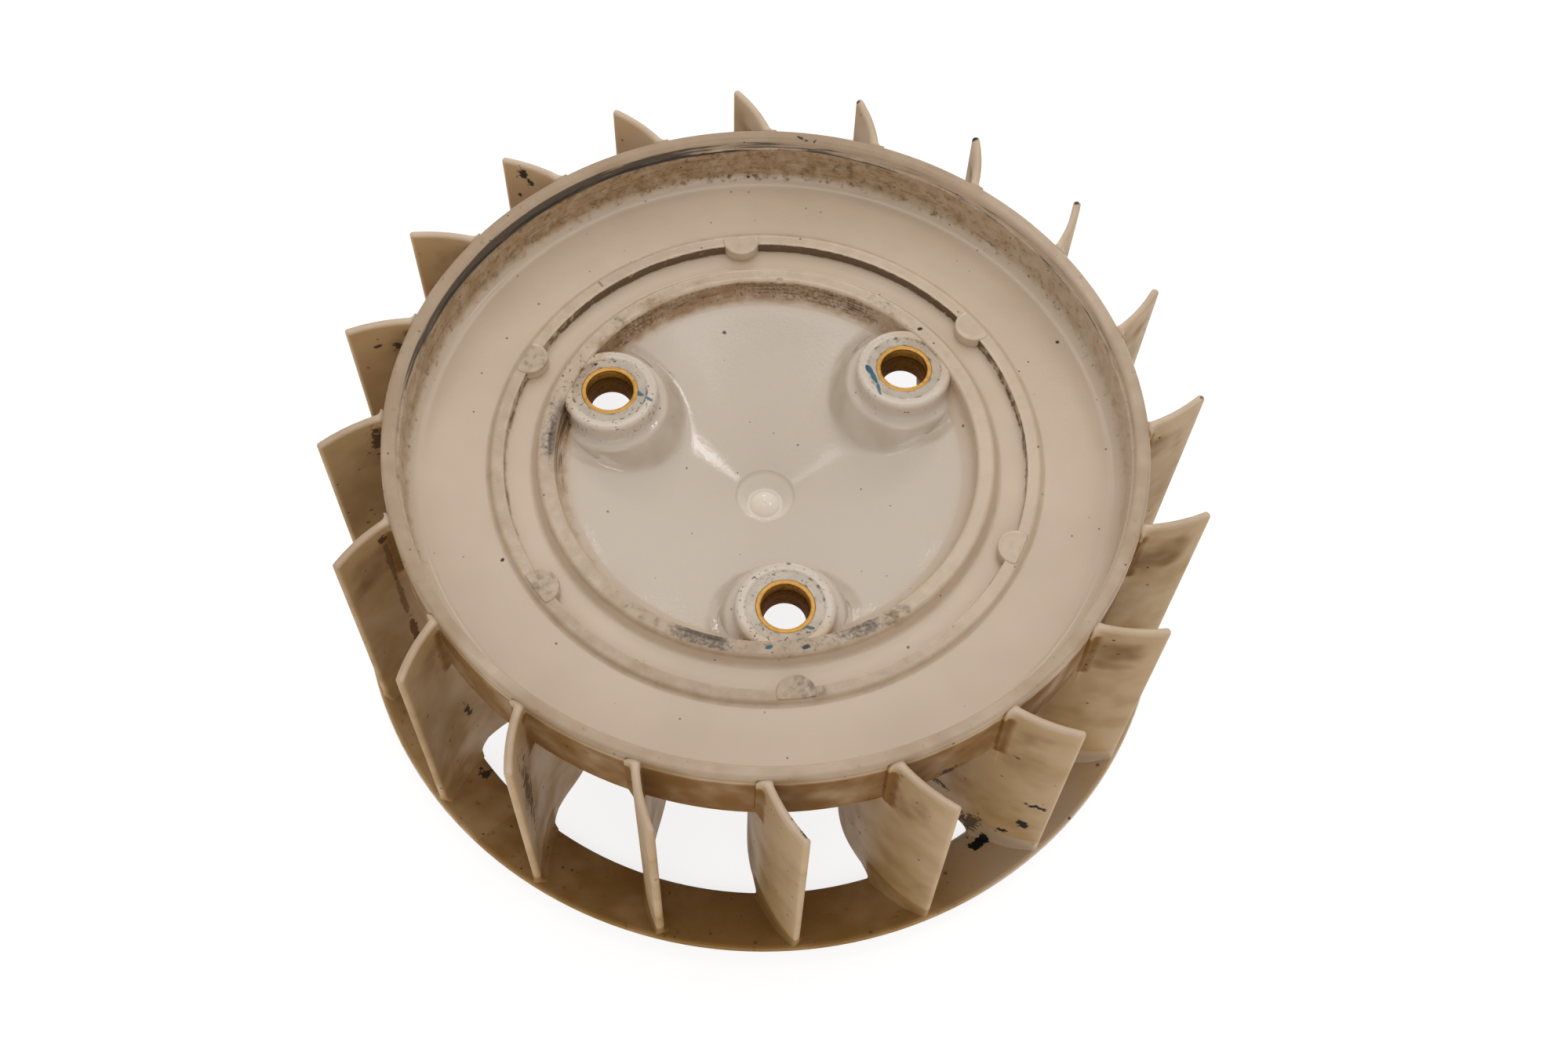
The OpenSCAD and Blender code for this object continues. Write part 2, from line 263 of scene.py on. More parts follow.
def blade():
    """One blade that crosses the rim on the X axis.

    Its middle surface is an arc of BLADE_ARC_R drawn straight along Z, on a
    grid of radius and height. Half the thickness goes to each side, falls to
    nothing on a quarter ellipse at the edges, and grows in a fillet where
    the blade meets the rim wall, the disc and the shroud ring.
    """
    inner_r = 41.0
    edge_reach, hub_fillet, ring_fillet = 0.38, 0.9, 0.8
    # Lower edge: down a slanted inner edge, round a quarter circle, along the ring
    foot_x, foot_z, foot_r = 50.2, 3.0, 4.6
    turn = np.radians(np.linspace(188, 270, 12))
    low_r = np.concatenate([
        [inner_r], foot_x + foot_r * np.cos(turn), [55.0, 56.2, 57.0, 58.0, TIP_R]])
    low_z = np.concatenate([
        [38.3], foot_z + foot_r * (1 + np.sin(turn)), [3.8, 3.0, 1.2, 0.95, 5.0]])
    # The grid is finer in radius at the rim and the tip, and in height at both edges
    columns = np.concatenate([
        np.linspace(inner_r, 45.6, 12), np.linspace(45.8, 50, 14), np.linspace(51, 56, 6),
        [56.4, 56.8, 57.2, 57.5, 57.6, 57.75, 58.0, 58.4, 59, 60, 61.5, 63, 64.5, 65.8],
        TIP_R - np.array([0.5, 0.3, 0.16, 0.08, 0.03, 0.0]),
    ])
    near = np.array([
        0, 0.001, 0.003, 0.006, 0.011, 0.018, 0.026, 0.036, 0.05, 0.075, 0.12, 0.2, 0.3, 0.4])
    share = np.concatenate([near, [0.5, 0.6, 0.7, 0.8, 0.88, 0.94], 1 - near[:8][::-1]])
    low = np.interp(columns, low_r, low_z)
    high = np.interp(columns, [inner_r, 56.2, 56.8, 57.3, TIP_R], [
        38.9, 39.9, 49.6, BLADE_TOP, BLADE_TOP])
    corner = np.clip(columns - (TIP_R - 0.3), 0, 0.3)
    high = high - 0.3 + np.sqrt(0.09 - corner ** 2)
    z = low[:, None] + share * (high - low)[:, None]
    r = np.broadcast_to(columns[:, None], z.shape)

    outline = np.concatenate([
        np.stack([columns, low], 1), np.stack([columns, high], 1)[::-1], [[columns[0], low[0]]],
    ])
    edge = np.clip(distance(r, z, outline) / edge_reach, 0, 1)
    edge = np.sqrt(1 - (1 - edge) ** 2)
    edge[:, [0, -1]] = 0
    edge[[0, -1]] = 0
    wall = np.array([
        [RIM_R, WHEEL_H], [RIM_R, SKIRT_Z], [WALL_R, SKIRT_Z], [WALL_R - 1.5, DISC_Z],
        [38, DISC_Z]])
    floor = np.array([
        [RING_IR, RING_T - 0.5], [RING_IR + 0.5, RING_T + 0.1], [RING_OR, RING_RISE + RING_T]])
    in_hub = (r < RIM_R) & (z > SKIRT_Z)
    in_ring = (r > RING_IR) & (z < np.interp(r, floor[:, 0], floor[:, 1]))
    grow = fillet(np.where(in_hub, 0, distance(r, z, wall)), hub_fillet)
    grow = np.maximum(grow, fillet(np.where(in_ring, 0, distance(r, z, floor)), ring_fillet))
    half = edge * (BLADE_T / 2 + grow)

    centre = np.array([
        RIM_R - BLADE_ARC_R * math.sin(BLADE_LEAN), BLADE_ARC_R * math.cos(BLADE_LEAN)])
    reach = np.linalg.norm(centre)
    angle = math.atan2(centre[1], centre[0]) - np.arccos(
        (r ** 2 + reach ** 2 - BLADE_ARC_R ** 2) / (2 * r * reach))
    x, y = r * np.cos(angle), r * np.sin(angle)
    out_x, out_y = (x - centre[0]) / BLADE_ARC_R, (y - centre[1]) / BLADE_ARC_R
    front = np.stack([x + out_x * half, y + out_y * half, z], -1)
    back = np.stack([x - out_x * half, y - out_y * half, z], -1)
    points = np.concatenate([front.reshape(-1, 3), back.reshape(-1, 3)])
    faces = grid_faces(*z.shape)
    return points, np.concatenate([faces, faces[:, ::-1] + z.size])


def copies(shell, angles):
    """Copies of a shell turned around the wheel axis, in degrees."""
    out = []
    for angle in np.radians(angles):
        cos, sin = math.cos(angle), math.sin(angle)
        turn = np.array([[cos, sin, 0], [-sin, cos, 0], [0, 0, 1]])
        out.append((shell[0] @ turn, shell[1]))
    return out


def boss():
    """Bolt boss on +X, on a grid of profile place and angle about its axis.

    The upper tier and its shoulder are one profile for all angles. Below, the
    side runs into the cone by the smooth maximum of two heights a and b,
    (a + b + sqrt((a - b)^2 + k^2)) / 2, with k the size of the blend. Nothing
    goes past the radius of the land, where the ring of the land covers it.
    """
    sides, blend, land_cover = BOSS_SIDES, 0.9, 34.2
    tier_end_r, tier_end_z = TIER_R + 0.6, TIER_Z - 1.3
    top = rounded([
        (0, BOSS_Z, 0), (5.75, BOSS_Z, 0.15), (6.1, BOSS_Z + 0.22, 0.3),
        (BOSS_R, BOSS_Z + 0.22, 1.9), (BOSS_R + 0.1, TIER_Z + 0.7, 0.9),
        (TIER_R - 0.25, TIER_Z + 0.15, 1.6), (tier_end_r, tier_end_z, 0),
    ])
    angle = np.linspace(0, 2 * np.pi, sides, endpoint=False)
    side = np.linspace(TIER_R + 0.8, 17.0, 22)
    rho = np.concatenate([top[:, 0], side])[:, None] * np.ones(sides)
    across = PITCH_R * np.cos(angle)
    limit = -across + np.sqrt(across ** 2 - PITCH_R ** 2 + land_cover ** 2)
    held = np.minimum(rho, limit)
    x, y = PITCH_R + held * np.cos(angle), held * np.sin(angle)
    radius = np.hypot(x, y)
    slope = (tier_end_z - cone_at(PITCH_R - TIER_FOOT_R) + 0.2) / (TIER_FOOT_R - tier_end_r)
    fall = tier_end_z - slope * (rho - tier_end_r)
    cone = np.interp(radius, [0, LEDGE_R, RECESS_R - 1.8, 60], [
        CONE_Z, LEDGE_Z, RECESS_EDGE_Z, RECESS_EDGE_Z])
    flowing = 0.5 * (fall + cone + np.sqrt((fall - cone) ** 2 + blend ** 2)) - 0.05
    straight = np.concatenate([top[:, 1], np.zeros(len(side))])[:, None] + 0 * rho
    z = np.where(np.arange(len(rho))[:, None] < len(top), straight, flowing)
    closing = np.stack([x[-1], y[-1], z[-1] - 1.0], -1)
    foot = np.broadcast_to([PITCH_R, 0, BUSH_LOW_Z - 1.0], closing.shape)
    points = np.concatenate([np.stack([x, y, z], -1), closing[None], foot[None]])
    return points.reshape(-1, 3), grid_faces(len(points), sides, wrap_columns=True)


def pad():
    """Half-round pad on +X: a flat disc with a rounded edge, cut by the edge of the band."""
    angle = np.linspace(0, 2 * np.pi, PAD_SIDES, endpoint=False)
    across = PAD_CENTRE_R * np.cos(angle)
    limit = -across + np.sqrt(across ** 2 - PAD_CENTRE_R ** 2 + (BAND_OR - 0.7) ** 2)
    outline = np.minimum(PAD_R, limit)
    top_z, foot_z = BAND_Z + 0.2, GROOVE_Z - 0.6
    profile = rounded([(1.0, top_z, 0), (0, top_z, 0.3), (0, foot_z, 0)])
    inward = np.concatenate([[1], np.zeros(len(profile)), [1]])
    height = np.concatenate([[top_z], profile[:, 1], [foot_z]])
    inset = np.concatenate([[0], profile[:, 0], [0]])
    rho = (1 - inward)[:, None] * (outline - inset[:, None])
    x, y = PAD_CENTRE_R + rho * np.cos(angle), rho * np.sin(angle)
    points = np.stack([x, y, height[:, None] + 0 * rho], -1)
    return points.reshape(-1, 3), grid_faces(len(points), PAD_SIDES, wrap_columns=True)


def bolt_hole():
    """Cutter on +X for the seat of a bush and the bolt head pocket below it."""
    low_z, high_z = 20, BOSS_Z + 2
    profile = [
        (0, low_z), (POCKET_R + 2.2, low_z), (POCKET_R, BUSH_LOW_Z - 0.5),
        (POCKET_R - 0.5, BUSH_LOW_Z), (BUSH_R, BUSH_LOW_Z), (BUSH_R, high_z), (0, high_z),
    ]
    return turned(profile, BOSS_SIDES, centre=(PITCH_R, 0))


def bush():
    """Profile of a brass bush: a stepped bore, a waist outside and broken edges."""
    low_z, waist_r, step_z = BUSH_LOW_Z, BUSH_R - 0.25, BOSS_Z - 2.1
    return rounded([
        (BORE_R, low_z + 1, 0), (BORE_R, low_z, 0.2), (BUSH_R, low_z, 0.2),
        (BUSH_R, low_z + 1.6, 0), (waist_r, low_z + 1.9, 0), (waist_r, low_z + 3.1, 0),
        (BUSH_R, low_z + 3.4, 0), (BUSH_R, BOSS_Z, 0.12), (MOUTH_BORE_R, BOSS_Z, 0.22),
        (MOUTH_BORE_R, step_z, 0.05), (BORE_R, step_z, 0.08), (BORE_R, low_z + 1, 0),
    ])[:-1]


def knock(radius, azimuth, z, sizes):
    """Ellipsoid cutter for a knock: half axes outwards, around and up."""
    angle = np.linspace(0, np.pi, KNOCK_SIDES // 2 + 1)
    points, quads = turned(np.stack([np.sin(angle), np.cos(angle)], 1), KNOCK_SIDES)
    placed = points * np.array(sizes) + np.array([radius, 0, z])
    return copies((placed, quads), [azimuth + VIEW_TURN])[0]


def combine(piece, tool, operation):
    """Adds a tool to a piece, or takes it away, and removes the tool."""
    step = piece.modifiers.new("step", "BOOLEAN")
    step.object, step.operation, step.solver = tool, operation, "MANIFOLD"
    bpy.context.view_layer.objects.active = piece
    bpy.ops.object.modifier_apply(modifier=step.name)
    bpy.data.objects.remove(tool)


def shade(piece, degrees):
    """Smooth shading, with edges sharper than the angle left hard."""
    piece.data.polygons.foreach_set("use_smooth", np.ones(len(piece.data.polygons), bool))
    piece.data.set_sharp_from_angle(angle=math.radians(degrees))


def moulding():
    """Unites the shells of the wheel, then cuts the bolt holes and the knocks."""
    wheel = write_mesh("wheel", [turned(hub(), WHEEL_SIDES)])
    add_on = [
        [turned(ring(), WHEEL_SIDES, closed=True)],
        copies(blade(), 90 + 360 / BLADES * np.arange(BLADES)),
        copies(boss(), BOSS_ANGLES),
        copies(pad(), 90 + 360 / PADS * np.arange(PADS)),
    ]
    for shells in add_on:
        combine(wheel, write_mesh("add_on", shells), "UNION")
    cuts = copies(bolt_hole(), BOSS_ANGLES)
    cuts.append(knock(32.7, 88, LAND_Z + 0.5, (0.7, 0.9, 1.0)))
    cuts.append(knock(41.9, 132.3, BAND_Z, (1.1, 0.28, 0.45)))
    combine(wheel, write_mesh("holes", cuts), "DIFFERENCE")
    shade(wheel, 38)
    return wheel


# Materials

def shown(hex_colour):
    """Linear RGBA of an sRGB hex colour."""
    channels = [int(hex_colour[i:i + 2], 16) / 255 for i in (1, 3, 5)]
    return [c / 12.92 if c <= 0.04045 else ((c + 0.055) / 1.055) ** 2.4 for c in channels] + [1.0]


# Settings that nodes share
ADD, SUBTRACT, MULTIPLY, MULTIPLY_ADD, MAXIMUM, WRAP = ({"operation": name} for name in (
    "ADD", "SUBTRACT", "MULTIPLY", "MULTIPLY_ADD", "MAXIMUM", "WRAP"))
SMOOTH = {"interpolation_type": "SMOOTHSTEP"}
COLOURS = {"data_type": "RGBA"}


def add(tree, kind, settings=None, links=None):
    """Adds a node. Settings are its properties, links its inputs: values, nodes or sockets."""
    node = tree.nodes.new("ShaderNode" + kind)
    for name, value in (settings or {}).items():
        setattr(node, name, value)
    for name, value in (links or {}).items():
        if isinstance(value, bpy.types.Node):
            value = value.outputs[0]
        if isinstance(value, bpy.types.NodeSocket):
            tree.links.new(value, node.inputs[name])
        else:
            node.inputs[name].default_value = value
    return node


def new_material(name):
    """A material with its Principled shader, and the node tree to build it in."""
    material = bpy.data.materials.new(name)
    material.use_nodes = True
    tree = material.node_tree
    return material, tree, tree.nodes["Principled BSDF"]


def photo_place(tree):
    """Place on the part in millimetres, in the frame of the photograph."""
    raw = add(tree, "TexCoord").outputs["Object"]
    return add(tree, "Mapping", links={
        "Vector": raw, "Scale": (1000, 1000, 1000), "Rotation": (0, 0, -math.radians(VIEW_TURN))})


def wheel_places(tree):
    """Place on the wheel, its radius, depth and azimuth, and the place unrolled.

    The unrolled place goes along an arc of 0.8 mm a degree, out and up.
    """
    place = photo_place(tree)
    split = add(tree, "SeparateXYZ", links={0: place})
    x, y, z = split.outputs
    flat = add(tree, "CombineXYZ", links={0: x, 1: y})
    radius = add(tree, "VectorMath", {"operation": "LENGTH"}, {0: flat}).outputs["Value"]
    depth = add(tree, "Math", SUBTRACT, {0: WHEEL_H, 1: z})
    turn = add(tree, "Math", {"operation": "ARCTAN2"}, {0: y, 1: x})
    degrees = add(tree, "Math", {"operation": "DEGREES"}, {0: turn})
    azimuth = add(tree, "Math", WRAP, {0: degrees, 1: AZIMUTH_TO, 2: AZIMUTH_FROM})
    arc = add(tree, "Math", MULTIPLY, {0: azimuth, 1: 0.8})
    unrolled = add(tree, "CombineXYZ", links={0: arc, 1: radius, 2: z})
    return place, radius, depth, azimuth, unrolled


def window(tree, value, low, high, soft):
    """Mask that is 1 between low and high, with smooth ends of the given width."""
    mask = None
    for edge, start, end in ((low, 0.0, 1.0), (high, 1.0, 0.0)):
        if edge is None:
            continue
        side = add(tree, "MapRange", SMOOTH, {
            "Value": value, "From Min": edge - soft, "From Max": edge + soft,
            "To Min": start, "To Max": end})
        mask = side if mask is None else add(tree, "Math", MULTIPLY, {0: mask, 1: side})
    return mask


def around(tree, azimuth, stops):
    """Mask along the azimuth: straight lines between stops {degrees: amount}.

    The ramp carries the amount in its alpha, a plain number, because a colour
    made into a number late in a long shader fills the renderer's stack.
    """
    share = add(tree, "MapRange", links={
        "Value": azimuth, "From Min": AZIMUTH_FROM, "From Max": AZIMUTH_TO})
    ramp = add(tree, "ValToRGB", links={"Fac": share})
    elements = ramp.color_ramp.elements
    elements.remove(elements[1])
    for i, (degrees, amount) in enumerate(stops.items()):
        element = elements[0] if i == 0 else elements.new(1.0)
        element.position = (degrees - AZIMUTH_FROM) / (AZIMUTH_TO - AZIMUTH_FROM)
        element.color = (1, 1, 1, amount)
    return ramp.outputs["Alpha"]


def flecks(tree, place, sizes, detail, shift=0.0):
    """Noise whose grains have the given sizes in millimetres, its middle spread over 0 to 1."""
    grains = add(tree, "Mapping", links={
        "Vector": place, "Location": (shift, 2 * shift, 3 * shift),
        "Scale": [1 / size for size in sizes]})
    noise = add(tree, "TexNoise", links={
        "Vector": grains, "Scale": 1.0, "Detail": detail, "Roughness": 0.6})
    return add(tree, "MapRange", links={"Value": noise, "From Min": 0.28, "From Max": 0.72})


def patches(tree, noise, amount, hard, opacity):
    """Cover of dirt: where the noise stands above 1 - amount, over a step of width hard."""
    start = add(tree, "Math", SUBTRACT, {0: 1.0, 1: amount})
    end = add(tree, "Math", ADD, {0: start, 1: hard})
    return add(tree, "MapRange", SMOOTH, {
        "Value": noise, "From Min": start, "From Max": end, "To Max": opacity})


def product(tree, *masks):
    """Product of masks."""
    whole = masks[0]
    for mask in masks[1:]:
        whole = add(tree, "Math", MULTIPLY, {0: whole, 1: mask})
    return whole


# Grains that the dirt shares. Each: whether it follows the turn of the wheel,
# size of the grains in millimetres (along x or the arc, y or out, z), detail.
GRAINS = {
    "mist": (False, (8, 8, 8), 2),
    "blotch": (False, (2.6, 2.6, 2.2), 4),
    "dust": (False, (1.3, 1.3, 1.1), 5),
    "grit": (False, (0.55, 0.55, 0.55), 3),
    "rub": (True, (7, 0.7, 0.4), 4),
}

# Dirt, with some painted shade and painted highlight among it, on the side that
# faces the flywheel. Radii and depths below the rim are in millimetres, azimuths
# in degrees of the photograph. Each row: radius from, to; depth from, to;
# softness of those four edges; amounts by azimuth, or one amount all round;
# grain; hardness; colour; opacity.
OIL = "#4b2e0c"
DIRT_AND_PAINTED_LIGHT = [
    # Yellow film outside the rim, and brown haze and sprayed oil on the blades
    (56.9, 59, 1.9, 14.5, 0.9, 1.8, "mist", 1.5, "#7b4f10", 0.94),
    (57.6, 67.5, -4, 40, 2.6,
     {-130: 1.8, -60: 1.4, 0: 1.4, 90: 1.2, 140: 0.9, 160: 1.1, 190: 2.1, 229: 2},
     "mist", 2.2, "#8d6e42", 0.5),
    (57.6, 65.5, 3.4, 12.5, 2.2,
     {-130: 0.5, -90: 0.4, -66: 0.8, -46: 0.75, -36: 1.2, -28: 1.4, -12: 1.3, 4: 1, 30: 0.6,
      150: 0.6, 180: 0.8, 200: 1.1, 228: 0.5},
     "mist", 1.2, "#6f4a1e", 0.75),
    (57.2, 60.2, 3, 15.5, 1, 0.32, "dust", 0.3, "#4a2e0e", 0.6),
    (48, 66.9, 26, 47.6, 6, 1.1, "mist", 1.5, "#9a7132", 0.6),
    # Shroud ring: a brown haze, heaviest at the front, that is partly painted shade; dust; and a
    # pale grey film on its right that is partly a painted highlight
    (56, 68, 42, 51, 0.8,
     {-130: 1.5, -90: 2.2, -62: 1.3, -45: 0.5, 0: 0.5, 90: 0.7, 200: 0.6, 229: 1.2},
     "mist", 1.6, "#8a611c", 0.76),
    (56, 68, 42, 51, 0.8, 0.26, "dust", 0.3, "#4a3218", 0.5),
    (56, 68, 42, 51, 0.8, {-68: 0, -54: 1.6, -20: 1.7, 40: 0}, "mist", 1.6, "#cbb9a2", 0.7),
    # Fingered lip of the rim
    (55.4, 57.9, -1, 1.8, 0.5,
     {-120: 1.9, -60: 1.7, 0: 1.9, 30: 1.5, 60: 1.9, 90: 2.7, 105: 2.3, 150: 2.4, 180: 2.2,
      200: 2.2, 225: 1.8},
     "mist", 2.2, "#84653c", 0.62),
    (55.4, 57.9, -1, 1.8, 0.5, 0.22, "dust", 0.25, "#77593a", 0.5),
    # Yellow film on the band and the land, and thin brown lines in the feet of their steps
    (32.7, 42.9, 8, 9.2, 0.4,
     {-130: 1.8, -90: 2, -60: 1.6, -35: 0.8, 0: 0.6, 60: 0.9, 90: 1.1, 120: 1.5, 150: 1.3,
      180: 1.5, 210: 1.4, 229: 1.7},
     "blotch", 1.9, "#8a704d", 0.5),
    (42.7, 43.2, 8.9, 9.5, 0.25, 1, "blotch", 1.3, "#a07848", 0.3),
    (35.7, 36.4, 9.8, 10.5, 0.3, 1, "blotch", 1.5, "#a08058", 0.3),
    # Old oil and dust on the wall of the rim, in a haze with grain and rubs. The haze and its grain
    # are heaviest on the far side of the wall, where they are partly painted shade.
    (53.2, 56.2, 1.8, 8.6, 1,
     {-30: 0.1, -10: 0.7, 12: 0.95, 38: 1.1, 62: 1.5, 95: 1.7, 130: 1.7, 158: 1.6, 176: 1.4,
      192: 1.2, 206: 1, 222: 0.6, 229: 0.3},
     "blotch", 1.7, "#8f6a30", 0.74),
    (53.2, 56.2, 2, 8.6, 0.7,
     {-22: 0.05, -8: 0.3, 12: 0.36, 38: 0.42, 62: 0.5, 95: 0.56, 130: 0.54, 158: 0.48, 176: 0.4,
      192: 0.32, 206: 0.25, 222: 0.1},
     "dust", 0.6, "#513710", 0.56),
    (53.5, 56.2, 2.4, 8.4, 0.8,
     {-20: 0.1, 10: 0.34, 40: 0.4, 62: 0.5, 85: 0.46, 100: 0.5, 135: 0.5, 160: 0.5, 176: 0.5,
      196: 0.5, 212: 0.45, 225: 0.1},
     "rub", 0.6, "#614821", 0.55),
    (53.4, 56.2, 1.6, 8.8, 0.6,
     {-24: 0.1, -6: 0.36, 30: 0.36, 60: 0.36, 95: 0.4, 150: 0.34, 190: 0.3, 220: 0.2},
     "grit", 0.4, "#4a340f", 0.45),
    # Black rub of the flywheel under the mouth of the rim, with its dark line
    (54.3, 56.4, 0.6, 2.7, 0.35,
     {-14: 0, -5: 0.25, 3: 0.5, 10: 0.3, 17: 0.55, 26: 0.3, 34: 0.5, 44: 0.42, 56: 0.45, 68: 0.5,
      80: 0.6, 90: 0.6, 103: 0.8, 112: 1.1, 118: 0.9, 124: 1.3, 150: 1.3, 164: 1, 172: 0.8,
      180: 0.55, 190: 0.38, 202: 0.2, 214: 0},
     "rub", 0.4, "#3e352b", 0.85),
    (54.6, 56, 2, 2.5, 0.2,
     {88: 0, 98: 0.6, 110: 0.8, 150: 0.85, 168: 0.6, 178: 0},
     "rub", 0.3, "#2d2a26", 0.85),
    # Grit at the foot of the rim wall
    (52, 55.8, 7.6, 9, 0.5,
     {-12: 0, 4: 0.3, 30: 0.4, 62: 0.42, 84: 0.45, 95: 0.62, 106: 0.46, 130: 0.44, 150: 0.36,
      172: 0.36, 200: 0.36, 218: 0.36, 229: 0},
     "dust", 0.4, "#6b4a26", 0.7),
    # Oil on the wall of the groove and brown in its corner
    (40.1, 40.75, 8.75, 10.6, 0.16,
     {-28: 0, -18: 0.6, 0: 0.8, 20: 0.8, 40: 1.2, 60: 1.3, 136: 1.3, 152: 0.8, 165: 0.7, 190: 0.6,
      212: 0.6, 225: 0.4},
     "dust", 0.6, OIL, 0.85),
    (39.9, 40.6, 9.9, 10.5, 0.2,
     {-125: 0.4, -60: 0.6, 0: 0.8, 120: 1, 200: 0.9, 228: 0.5},
     "blotch", 0.9, "#7c5a33", 0.7),
    # Grit on the wall of the recess, in a brown haze
    (30.8, 33.2, 8.6, 12.8, 0.7,
     {-130: 0.6, -50: 0.6, 0: 0.4, 24: 0.6, 56: 1.2, 100: 1.7, 142: 1.7, 172: 1.4, 196: 1,
      228: 0.6},
     "blotch", 1.6, "#8a5f26", 0.74),
    (31.2, 33.2, 8.7, 12.4, 0.5,
     {24: 0, 58: 0.35, 62: 0.7, 67: 0.65, 69: 0.4, 72: 0.7, 79: 0.6, 81: 0.4, 84: 0.6, 93: 0.6,
      100: 0.5, 106: 0.4, 120: 0.5, 137: 0.6, 146: 0.3, 160: 0.5, 166: 0.95, 180: 0.8, 196: 0.4,
      215: 0.3, 228: 0},
     "rub", 0.6, OIL, 0.8),
    (31.4, 33.2, 8.7, 12.4, 0.45,
     {40: 0, 58: 0.5, 62: 0.75, 79: 0.7, 93: 0.65, 104: 0.5, 120: 0.65, 137: 0.75, 146: 0.4,
      170: 0.5, 190: 0},
     "grit", 0.6, "#4a3414", 0.6),
    # Blue-black smears on the land, and its brown stain
    (32.4, 34.6, 8, 8.8, 0.6,
     {96: 0, 112: 0.7, 124: 0.9, 146: 0.9, 156: 0.4, 166: 0},
     "blotch", 1, "#8a6436", 0.55),
    (32.6, 35, 8, 8.9, 0.4,
     {-118: 0.1, -110: 1, -100: 1.2, -95: 0.55, -74: 0.55, -68: 0.9, -61: 1.1, -58: 0.5, -48: 0.2,
      -8: 0.1, 4: 0.35, 44: 0.3, 50: 0.5, 58: 0.62, 66: 0.5, 72: 0.2, 100: 0.2, 112: 0.36,
      136: 0.6, 147: 0.4, 158: 0.45, 166: 0.7, 180: 0.8, 186: 0.5, 192: 0.3, 206: 0.3, 210: 0.5,
      215: 0.2},
     "grit", 0.9, "#2f3238", 0.65),
    (32.4, 33.7, 8, 8.9, 0.3,
     {-114: 0, -109: 1.3, -101: 1.3, -96: 0.3, -72: 0.2, -66: 0.9, -61: 1.2, -58: 0, 158: 0,
      168: 1.3, 182: 1.4, 190: 0},
     "rub", 1.3, "#2b2a29", 0.7),
    (32.6, 35.2, 8, 8.9, 0.4, {-62: 0, -57: 0.9, -52: 0.8, -46: 0}, "dust", 0.9, "#5b4630", 0.8),
    (32.9, 34.8, 8.2, 8.8, 0.3,
     {-108: 0.5, -102: 0.3, -96: 0.3, -74: 0.45, -68: 0.2, -60: 0.45, -50: 0.1, 50: 0.2, 57: 0.6,
      64: 0.5, 71: 0.1, 130: 0.1, 137: 0.6, 143: 0.3, 162: 0.2, 169: 0.6, 178: 0.85, 184: 0.7,
      189: 0.2},
     "dust", 0.8, "#34373d", 0.8),
    # Grey smears on the pads, and yellow bruises across the band
    (37.4, 42.4, 8.2, 8.75, 0.5,
     {-88: 0.2, -82: 1, -77: 1.2, -75: 0.3, -66: 0.1, -26: 0, -23: 0.8, -20: 0, 152: 0, 156: 1,
      160: 0.9, 163: 0, 212: 0, 216: 1, 220: 0.9, 223: 0},
     "dust", 1, "#45413c", 0.75),
    (33, 42, 8, 9.6, 0.8,
     {-122: 0.3, -114: 0.9, -104: 0, -60: 0, -56: 0.9, -52: 0.9, -48: 0, 50: 0, 62: 0.7, 70: 0},
     "blotch", 1.2, "#a5835a", 0.5),
]

# Dirt and painted shade about the bosses, whose first number pair is the
# distance from the axis of the nearest boss. The rest of a row is as above.
BOSS_DIRT_AND_SHADE = [
    # Grey film on the flat round the bush, and a dirt line inside the raised edge
    (4.2, 5.85, 8.5, 9.3, 0.2, 1.6, "blotch", 1.8, "#9c8c76", 0.6),
    (5.6, 6.05, 8.5, 9.3, 0.14,
     {-110: 0.3, -70: 0.55, -40: 0.3, 20: 0.35, 50: 0.5, 140: 0.35, 152: 0.6, 170: 0.4},
     "dust", 0.35, "#4b3d2c", 0.75),
    (4.35, 4.75, 8.5, 9.3, 0.12, 0.5, "dust", 0.4, "#5c4a30", 0.7),
    # Grit on top, and a brown haze at the foot that is partly painted shade where the boss meets
    # the cone
    (4.5, 8.6, 8.3, 12, 0.5,
     {-110: 0.2, -90: 0.3, -70: 0.2, 20: 0.16, 60: 0.2, 140: 0.16, 158: 0.34, 175: 0.2},
     "grit", 0.12, "#37312b", 0.75),
    (8.6, 12, 11.6, 18, 0.8, 1.4, "mist", 1.8, "#937a55", 0.5),
]

